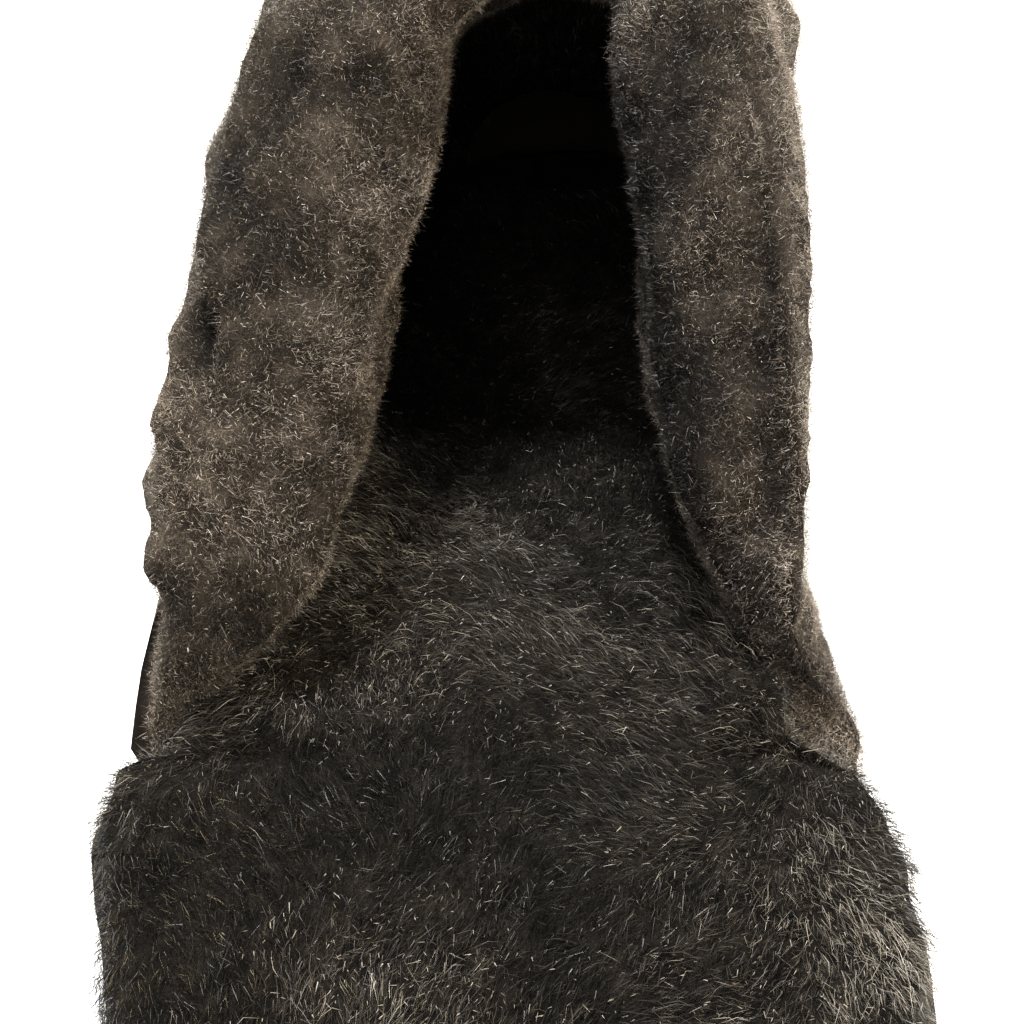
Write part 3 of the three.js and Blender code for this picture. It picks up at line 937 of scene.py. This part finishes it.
def smooth_bed(places, heel):
    """The bed's rings before its lumps, its underside, its drop at the heel and its medial points."""
    half = smooth_rows(FOOTBED_SECTION[:, None, :], BED_SECTION_POINTS)[:, 0, :]
    medial = footbed_point(places, half[:, 0][None], half[:, 1][None], 1)
    lateral = footbed_point(places, half[1:-1, 0][None], half[1:-1, 1][None], -1)
    smooth = np.concatenate([medial, lateral[:, ::-1]], axis=1)
    from_centre = smooth[..., 0] - centre_at(places)
    sides = [read_table(BED_SIDES, column, places) for column in (BED_LATERAL, BED_MEDIAL)]
    stand_out = np.where(from_centre > 0, sides[1], sides[0])
    smooth[..., 0] = smooth[..., 0] + from_centre / read_table(OUTLINE, MEDIAL, places) * stand_out
    under = seat_at(places)
    dropped = 1 - HEEL_DROP * (1 - rounded_end(places - heel, HEEL_DROP_ROUND))
    smooth[..., 2] = under + (smooth[..., 2] - under) * dropped
    return smooth, under, dropped, from_centre > 0


def make_footbed():
    heel = read_table(FOOTBED, INSET, 0.0) / SOLE_LENGTH + FINE_TRIM
    places = bed_places(heel)
    smooth, under, dropped, medial_side = smooth_bed(places, heel)
    wrapped = np.concatenate([smooth[:, -1:], smooth, smooth[:, :1]], axis=1)
    normals = grid_normals(wrapped)[:, 1:-1]
    up = (smooth[..., 2] - under) / read_table(FOOTBED, WOOL, places) / dropped
    woolly = fade(*BED_WOOLLY, up)
    lumps = layered(smooth, BED_LUMPS)
    points = smooth + normals * (woolly * (lumps - BED_SINK))[..., None]
    across = np.abs(smooth[..., 0] - centre_at(places)) / read_table(OUTLINE, MEDIAL, places)
    banked = fade(*BANK_ACROSS, across) * fade(*BANK_START, places)
    banked = banked * (1 - fade(*BANK_STOP, places))
    bank = np.where(medial_side, BANK["medial"], BANK["lateral"])
    points[..., 2] = points[..., 2] + bank * banked * woolly
    body = tube_object("footbed_wool", points)
    dress(body, FOOTBED_BASE, "insole")
    fewer = 1 - BED_FEWER * fade(*BED_FEWER_FROM, places)
    weights = fade(*BED_HAIRY, up) * fewer * (places < BED_HAIR_STOP)
    return points, normals, weights


# The middle of the round heel, from which the hairs fan out, in millimetres
HEEL_CENTRE = (1, 42)
# The way the hairs lie on the flat, in radians, and how far steep sides turn them outward
BED_HEADING = -1.9
BED_SWIRLS = [(1.9, 34.0, 21), (0.9, 12.0, 22)]
BED_FAN = 0.6
BED_FAN_DOWN = np.array([0, 0, 0.5])


def footbed_combs(roots, normals):
    swirl = BED_HEADING + layered(roots, BED_SWIRLS)
    flow = xyz(np.cos(swirl), np.sin(swirl), 0)
    backward = np.minimum(roots[:, 1] - HEEL_CENTRE[1], 0)
    outward = unit(xyz(roots[:, 0] - HEEL_CENTRE[0], backward, 0)) - BED_FAN_DOWN
    steep = BED_FAN * (1 - np.clip(normals[:, 2], 0, 1)[:, None])
    flow = flow * (1 - steep) + outward * steep
    flow = flow - normals * np.sum(flow * normals, axis=1, keepdims=True)
    return unit(flow)


# Patches of the bed with painted light where the pile catches the light and painted shade where it lies away
# from it or in shadow: x and y on the last and the reach in millimetres, and the tone
BED_LIGHT_AND_SHADE_PATCHES = [
    (-20, 74, 10, 0.3), (-5, 71, 8, 0.28), (4, 79, 7, -0.35), (-41, 71, 9, -0.6),
    (-43, 86, 6, -0.4), (41, 74, 10, 0.43), (-31, 107, 7, 0.3), (8, 113, 11, -0.12),
    (-33, 98, 10, 0.22), (-4, 146, 6, 0.25), (18, 114, 9, 0.15), (5, 95, 14, -0.15),
    (20, 74, 13, -0.05), (-33, 84, 16, -0.52), (34, 82, 14, 0.42), (29, 126, 8, 0.3),
    (35, 102, 7, 0.34), (40, 89, 7, 0.25), (-42, 95, 6, 0.2),
]
BED_TONES = [(0.17, 17.0, 61), (0.16, 6.0, 62)]
# Painted light: the pile is lighter towards the throat, where more light falls on it, over a stretch in
# millimetres
BED_PAINTED_LIGHT = 0.24
BED_PAINTED_LIGHT_FADE = (90, 122)
# A painted shadow: the pile turns darker into the hollow, where the collar's shadow falls, along a slant
# across the bed
SHADE_TONE = -0.14
SHADE_SLANT = 0.57
SHADE_FADE = (136, 166)


def bed_tones(roots):
    # Random tone, with painted light towards the throat
    tones = layered(roots, BED_TONES) + BED_PAINTED_LIGHT * fade(*BED_PAINTED_LIGHT_FADE, roots[:, 1])
    # Painted shadow of the collar, darker into the hollow
    toward_hollow = roots[:, 1] + SHADE_SLANT * roots[:, 0]
    tones = tones + SHADE_TONE * fade(*SHADE_FADE, toward_hollow)
    # Painted light and painted shade, in patches
    for x, y, reach, tone in BED_LIGHT_AND_SHADE_PATCHES:
        away = np.hypot(roots[:, 0] - x, roots[:, 1] - y) / reach
        tones = tones + tone * np.exp(-away * away)
    return tones


# The cuff: the wool's surface round the fold. It reaches further down than the solid at both ends
CUFF_REACH = np.radians((1.2, 178.9))
CUFF_STATIONS = 260
CUFF_ROWS = 74
# degrees, share round the fold: the parting near the fold on the inner side of the foot
PARTING = np.array([
    (100, 0.6), (135, 0.56), (143.9, 0.52), (151, 0.49), (157.6, 0.475), (164, 0.45), (180, 0.42),
])
PARTING_WIDTH = 0.026
PARTING_DEPTH = 1.9
# Painted shade in the parting's groove
PARTING_SHADE = -0.4
PARTING_START = (110, 135)
PARTING_STOP = (168, 174)
# degrees, millimetres outward: the outer face is fuller at both feet and pinched above the inner one
OUTER_SWELL = np.array([
    (0, 0.6), (6, 0.4), (11, 0), (13.4, 0.3), (14.8, 3.3), (16, 2.3), (17.5, 1.6), (20, 0.5),
    (24.2, -0.2), (27, 0.5), (29.3, 1.2), (34.1, 2.9), (40.3, 1.3), (46, 0.9), (60, 0), (125, 0),
    (135, 0.8), (142, 0.9), (146, 0.6), (150, -0.1), (156, -0.7), (159.7, -1), (163, -2.3), (165.2, -4),
    (168.4, -4.6), (170.2, -3), (172, -1.4), (173.4, 0.4), (174.6, 1.9), (176, 3.4), (177.5, 3.6), (180, 3.4),
])
# Shares round the fold where the outer face begins, and the crest from which hairs lie both ways
OUTER_START = (0.42, 0.54)
CUFF_CREST = 0.54
# Swells and dents: degrees, share, reach in degrees, reach in share, height in millimetres, tone.
# The tone is painted light and painted shade: darker on inner faces turned from the light, lighter on rims
# and crests that catch it
CUFF_SWELLS = [
    (12, 0.36, 7, 0.13, 3.0, -0.12), (21, 0.33, 6, 0.14, 2.2, 0),
    (22.5, 0.66, 4, 0.1, 2.6, 0.2), (29.5, 0.65, 2.5, 0.08, -1.4, -0.1),
    (9.5, 0.68, 2.5, 0.1, -1.2, -0.1), (176, 0.58, 5, 0.3, 0.3, 0.2),
    (170, 0.57, 4, 0.08, 0, -0.2), (167, 0.33, 8, 0.14, -2.4, 0.18),
    (151, 0.33, 10, 0.14, -2.4, 0), (145, 0.31, 20, 0.055, 0, -1.0),
    (110, 0.31, 20, 0.055, 0, -0.5), (143, 0.43, 5, 0.05, 0.5, 0.5),
    (133.5, 0.43, 4.5, 0.06, 0, -0.35), (125, 0.43, 6, 0.06, 0, -0.4),
    (162, 0.45, 6, 0.045, 0.3, 0.5), (158, 0.56, 5, 0.06, 0, 0.8),
    (142, 0.66, 25, 0.08, 0, 0.26), (48.6, 0.58, 2.5, 0.04, -1.8, -0.35),
    (39, 0.61, 2.5, 0.04, -1.8, -0.35), (29, 0.57, 4, 0.05, -1.6, -0.35),
    (20, 0.42, 9, 0.12, 0.4, 0.14), (37, 0.45, 5, 0.08, 0.8, 0.12),
    (13, 0.5, 5, 0.1, 0.5, -0.05), (48, 0.52, 13, 0.3, 0, -0.27),
    (155.5, 0.36, 6, 0.05, 0, -0.7), (26, 0.22, 7, 0.06, 0, -0.6),
    (148, 0.2, 17, 0.14, 0, -0.6), (36, 0.66, 12, 0.07, 0, -0.4),
    (29, 0.62, 4, 0.07, 0, -0.3), (13.5, 0.5, 3.5, 0.12, 0, -0.5),
    (28, 0.48, 4, 0.06, 0, -0.3), (45, 0.41, 5, 0.06, 0, 0.3),
    (124, 0.5, 5, 0.06, 0.8, 0.12), (135, 0.46, 4, 0.06, 0.8, 0.12),
    (148, 0.56, 5, 0.05, 0.6, 0.1),
]
CUFF_LUMPS = [(1.0, 19.0, 34), (0.35, 1.7, 33)]
CUFF_TUFTS = [(1.3, 9.0, 31), (0.8, 4.5, 32)]
CUFF_TONES = [(0.2, 14.0, 63), (0.17, 5.0, 64)]
# Painted light and painted shade: the tufts' crests are lighter and the valleys between them darker
TUFT_LIGHT_AND_SHADE = 0.2
# How far the wool's base lies under the solid's face, and the share over which lumps fade at the edges
CUFF_SINK = 1.1
CUFF_EDGE = 0.06
# Shares of the legs at which the collar's slot has a row of points
SLOT_SHARES = (1.0, 0.5, 0.1)
# How many more hairs grow at each end, and over which degrees
INNER_END = (1.2, 168, 176)
OUTER_END = (0.6, 14, 4)


def cuff_swells(degrees, share):
    """Heights, and tones of painted light and painted shade, that the swells, dents and the parting add."""
    height = np.zeros(np.broadcast(degrees, share).shape)
    tone = np.zeros_like(height)
    for at, at_share, reach, reach_share, swell, shade in CUFF_SWELLS:
        near = np.exp(-(((degrees - at) / reach) ** 2) - ((share - at_share) / reach_share) ** 2)
        height = height + swell * near
        # The tone column paints light and shade on the wool
        tone = tone + shade * near
    from_parting = (share - read_table(PARTING, VALUE, degrees)) / PARTING_WIDTH
    parting = np.exp(-(from_parting**2)) * fade(*PARTING_START, degrees)
    parting = parting * (1 - fade(*PARTING_STOP, degrees))
    return height - PARTING_DEPTH * parting, tone + PARTING_SHADE * parting


def cuff_slot(angle):
    """Rows of points round the slot for the collar's edge, from outside to inside."""
    rise = np.sin(angle)
    pinch = np.minimum(read_table(EDGE_SWELL, VALUE, np.degrees(angle)), 0)
    outer = -CUFF_SLOT["outside"] - pinch
    inner = np.full_like(angle, WALL + CUFF_SLOT["inside"])
    edge = np.full_like(angle, -CUFF_SLOT["edge"])
    outer_leg = read_table(CUFF, OUTER_LEG, rise)
    inner_leg = read_table(CUFF, INNER_LEG, rise)
    rows = [cuff_point(angle, share * outer_leg, outer) for share in SLOT_SHARES]
    rows += [cuff_point(angle, edge, outer), cuff_point(angle, edge, inner)]
    rows += [cuff_point(angle, share * inner_leg, inner) for share in SLOT_SHARES[::-1]]
    return np.stack(rows)


def make_cuff():
    angle = np.linspace(*CUFF_REACH, CUFF_STATIONS)
    degrees = np.degrees(angle)
    wool_rows = np.stack([cuff_wool_row(angle, row) for row in range(len(CUFF_WOOL))])
    wool = smooth_rows(wool_rows, CUFF_ROWS)
    normals = -grid_normals(wool)
    share = np.linspace(0, 1, CUFF_ROWS)[:, None]
    swell, tone = cuff_swells(degrees[None], share)
    tufts = layered(wool, CUFF_TUFTS)
    lumps = layered(wool, CUFF_LUMPS) + tufts
    # Painted light on the tufts' crests and painted shade in their valleys, with random tone
    tone = tone + TUFT_LIGHT_AND_SHADE * tufts + layered(wool, CUFF_TONES)
    inner_edge = fade(0, CUFF_EDGE, share)
    outer_edge = fade(0, CUFF_EDGE, 1 - share)
    points = wool + normals * ((lumps - CUFF_SINK) * inner_edge * outer_edge + swell * inner_edge)[..., None]
    outward = np.where(angle > np.pi / 2, 1, -1) * read_table(OUTER_SWELL, VALUE, degrees)
    points[..., 0] = points[..., 0] + outward * fade(*OUTER_START, share)
    slot = cuff_slot(angle)
    body = tube_object("cuff_wool", np.concatenate([points, slot]).transpose(1, 0, 2))
    dress(body, CUFF_BASE, "cuff")
    # The tones, painted light and shade included, darken or lighten the wool's base too
    all_tones = np.concatenate([tone, np.zeros(slot.shape[:2])]).T
    kept_tone = body.data.attributes.new(TONE_ATTRIBUTE, "FLOAT", "POINT")
    kept_tone.data.foreach_set("value", all_tones.astype(np.float32).ravel())
    downhill = np.gradient(wool, axis=0) * np.sign(share - CUFF_CREST)[..., None]
    thick_ends = 1
    for more, low, high in (INNER_END, OUTER_END):
        thick_ends = thick_ends + more * fade(low, high, degrees)
    weights = np.broadcast_to(thick_ends, tone.shape)
    return points, -grid_normals(points), unit(downhill), tone, weights


# The way the hairs lie on the cuff: away from the crest, and both ways by chance
CUFF_COMB = 0.3
CUFF_COMB_DOWN = [(0.9, 9.0, 51)]
CUFF_COMB_ACROSS = [(1.0, 9.0, 52)]


def cuff_combs(roots, normals, downhill):
    across = np.cross(normals, downhill)
    first = CUFF_COMB + layered(roots, CUFF_COMB_DOWN)
    second = layered(roots, CUFF_COMB_ACROSS)
    return downhill * first[:, None] + across * second[:, None]


# The wool lining, from inside the cuff to the toe
LINING_REACH = np.radians((5, 175))
LINING_FROM_COLLAR = 0.05
LINING_TOE = 0.955
LINING_GAP = 0.35
LINING_HIDE = 0.3
LINING_PILE = 3.2
LINING_LUMPS = [(0.8, 7.0, 41), (0.5, 3.0, 42)]
LINING_EDGE = 0.04


def make_lining():
    over = 60
    along = 50
    angle = np.linspace(*LINING_REACH, over)[:, None]
    share = np.linspace(0, 1, along)[None]
    start = collar_at(angle) + LINING_FROM_COLLAR
    at = start + (LINING_TOE - start) * share
    normals = -last_normal(at, angle)
    pinched = normals * np.maximum(-edge_swell(at, angle), 0)[..., None]
    skin = last_point(at, angle, WALL + LINING_GAP) + pinched
    pile = LINING_PILE + layered(skin, LINING_LUMPS)
    rim = fade(0, LINING_EDGE, share) * fade(0, LINING_EDGE, 1 - share)
    wool = last_point(at, angle, WALL + LINING_GAP + LINING_HIDE + pile * rim) + pinched
    points = np.concatenate([skin.reshape(-1, 3), wool.reshape(-1, 3)])
    toe = np.arange(over - 1) * along + along - 1
    toe_faces = strip_faces(toe, toe + along, over * along)
    piece = mesh_object("lining_wool", points, np.concatenate([*shell_faces(over, along), toe_faces]))
    dress(piece, FOOTBED_BASE)
    return wool, normals


# Styles of hairs: lengths, width, crimp and levels in millimetres, lean in radians
STRAIGHT = {"rise": 0, "crimp": 0, "steps": 1}
BED_HAIRS = {
    "footbed_plush": {
        **STRAIGHT, "count": 160000, "length": (1.4, 3.6), "lean": 1.0, "stray": 0.45, "lock": 60,
        "pull": 0.45, "width": 0.07, "level": (-0.6, 0.9), "tone": 0.15, "painted_glints": 0.02,
    },
    "footbed_guard": {
        "rise": 0.3, "crimp": 0.3, "steps": 2,
        "count": 48000, "length": (2.8, 6.6), "lean": 1.0, "stray": 0.35, "lock": 22,
        "pull": 0.55, "width": 0.07, "level": (-0.5, 0.4), "tone": 0.2, "painted_glints": 0.07,
    },
    # Short hairs painted bright: painted glints of light over the pile
    "footbed_glints": {
        **STRAIGHT, "count": 24000, "length": (0.5, 1.3), "lean": 1.2, "stray": 0.6, "lock": 30,
        "pull": 0.0, "width": 0.1, "level": (0.2, 1.9), "tone": 0.38, "painted_glints": 0.5,
    },
}
CUFF_PLUSH = {
    **STRAIGHT, "count": 197000, "length": (0.7, 2.1), "lean": 1.1, "stray": 1.0, "lock": 60, "pull": 0.15,
    "width": 0.045, "level": (-0.3, 0.7), "tone": 0.42, "painted_glints": 0.08,
}
# Short hairs painted bright: painted glints of light over the cuff's pile
CUFF_GLINTS = {
    **STRAIGHT, "count": 50000, "length": (0.3, 0.8), "lean": 1.2, "stray": 1.2, "lock": 60, "pull": 0.0,
    "width": 0.075, "level": (0.2, 0.9), "tone": 0.62, "painted_glints": 0.7,
}
LINING_PLUSH = {
    **STRAIGHT, "count": 30000, "length": (1.8, 3.6), "lean": 0.9, "stray": 1.0, "lock": 40, "pull": 0.3,
    "width": 0.14, "level": (-0.5, 0.5), "tone": 0.35, "painted_glints": 0.01,
}
CUFF_HAIRS = {"cuff_plush_0": CUFF_PLUSH, "cuff_plush_1": CUFF_PLUSH, "cuff_glints": CUFF_GLINTS}
TOWARD_TOE = np.array([0.0, 1.0, 0.0])


def dress_footbed():
    points, point_normals, weights = make_footbed()
    for name, style in BED_HAIRS.items():
        roots, normals, _, _ = scatter(points, point_normals, weights, style["count"])
        combs = footbed_combs(roots, normals)
        hairs(name, roots, normals, combs, bed_tones(roots), style, FOOTBED_HAIR)


def dress_cuff():
    points, point_normals, downhill, tone, weights = make_cuff()
    for name, style in CUFF_HAIRS.items():
        roots, normals, row, column = scatter(points, point_normals, weights, style["count"])
        combs = cuff_combs(roots, normals, downhill[row, column])
        hairs(name, roots, normals, combs, tone[row, column], style, CUFF_HAIR)


def dress_lining():
    points, point_normals = make_lining()
    weights = np.ones(points.shape[:2])
    roots, normals, _, _ = scatter(points, point_normals, weights, LINING_PLUSH["count"])
    hairs("lining_plush", roots, normals, TOWARD_TOE, 0, LINING_PLUSH, FOOTBED_HAIR)


make_outsole()
make_upper()
make_stitches()
dress_footbed()
dress_cuff()
dress_lining()

# Floor, light and camera, in metres
FLOOR_CORNERS = [(-3, -3, 0), (3, -3, 0), (3, 3, 0), (-3, 3, 0)]
FLOOR_LOOK = {"Roughness": 0.9, "Base Color": (0.86, 0.86, 0.86, 1)}
# name, place, aim, size, watts, colour
LIGHTS = [
    ("key", (-0.1, 0.37, 0.97), (0, -0.02, 0.04), 0.2, 38, (1, 1, 1)),
    ("fill", (-0.2, -0.75, 0.6), (0, -0.02, 0.04), 0.8, 5, (1, 1, 1)),
    ("left rim", (-0.75, 0.45, 0.2), (0, 0.0, 0.06), 0.25, 10, (1, 0.78, 0.42)),
    ("right rim", (0.7, -0.42, 0.42), (0, -0.02, 0.04), 0.3, 13, (1, 0.9, 0.72)),
]
SKY = {"Color": (1, 1, 1, 1), "Strength": 0.22}
# The camera that was fitted to the photograph's outline
PHOTO_WIDTH = 1024
FOCAL_PIXELS = 1100
SENSOR_WIDTH = 36
CLIP_START = 0.005
CAMERA_FROM_HEEL = Vector((-0.0015, 0.0204, 0.134))
CAMERA_PITCH = 42.4


def make_floor():
    mesh = bpy.data.meshes.new("floor")
    mesh.from_pydata(FLOOR_CORNERS, [], [(0, 1, 2, 3)])
    mesh.materials.append(new_material("floor", FLOOR_LOOK)[0])
    add_object("floor", mesh)


def area_light(name, place, aim, size, power, colour):
    data = bpy.data.lights.new(name, "AREA")
    data.size = size
    data.energy = power
    data.color = colour
    light = add_object(name, data)
    light.location = place
    light.rotation_euler = (Vector(aim) - Vector(place)).to_track_quat("-Z", "Y").to_euler()


def make_sky():
    world = bpy.data.worlds.new("studio")
    world.use_nodes = True
    set_inputs(world.node_tree.nodes["Background"], SKY)
    bpy.context.scene.world = world
    bpy.context.scene.view_settings.view_transform = "Standard"


def make_camera():
    data = bpy.data.cameras.new("camera")
    data.sensor_width = SENSOR_WIDTH
    data.lens = SENSOR_WIDTH * FOCAL_PIXELS / PHOTO_WIDTH
    data.clip_start = CLIP_START
    camera = add_object("camera", data)
    heel_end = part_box("outsole")[0].y
    camera.location = CAMERA_FROM_HEEL + Vector((0, heel_end, 0))
    camera.rotation_euler = (math.radians(90 - CAMERA_PITCH), 0, 0)
    bpy.context.scene.camera = camera


make_floor()
for light in LIGHTS:
    area_light(*light)
make_sky()
make_camera()

bpy.context.view_layer.update()
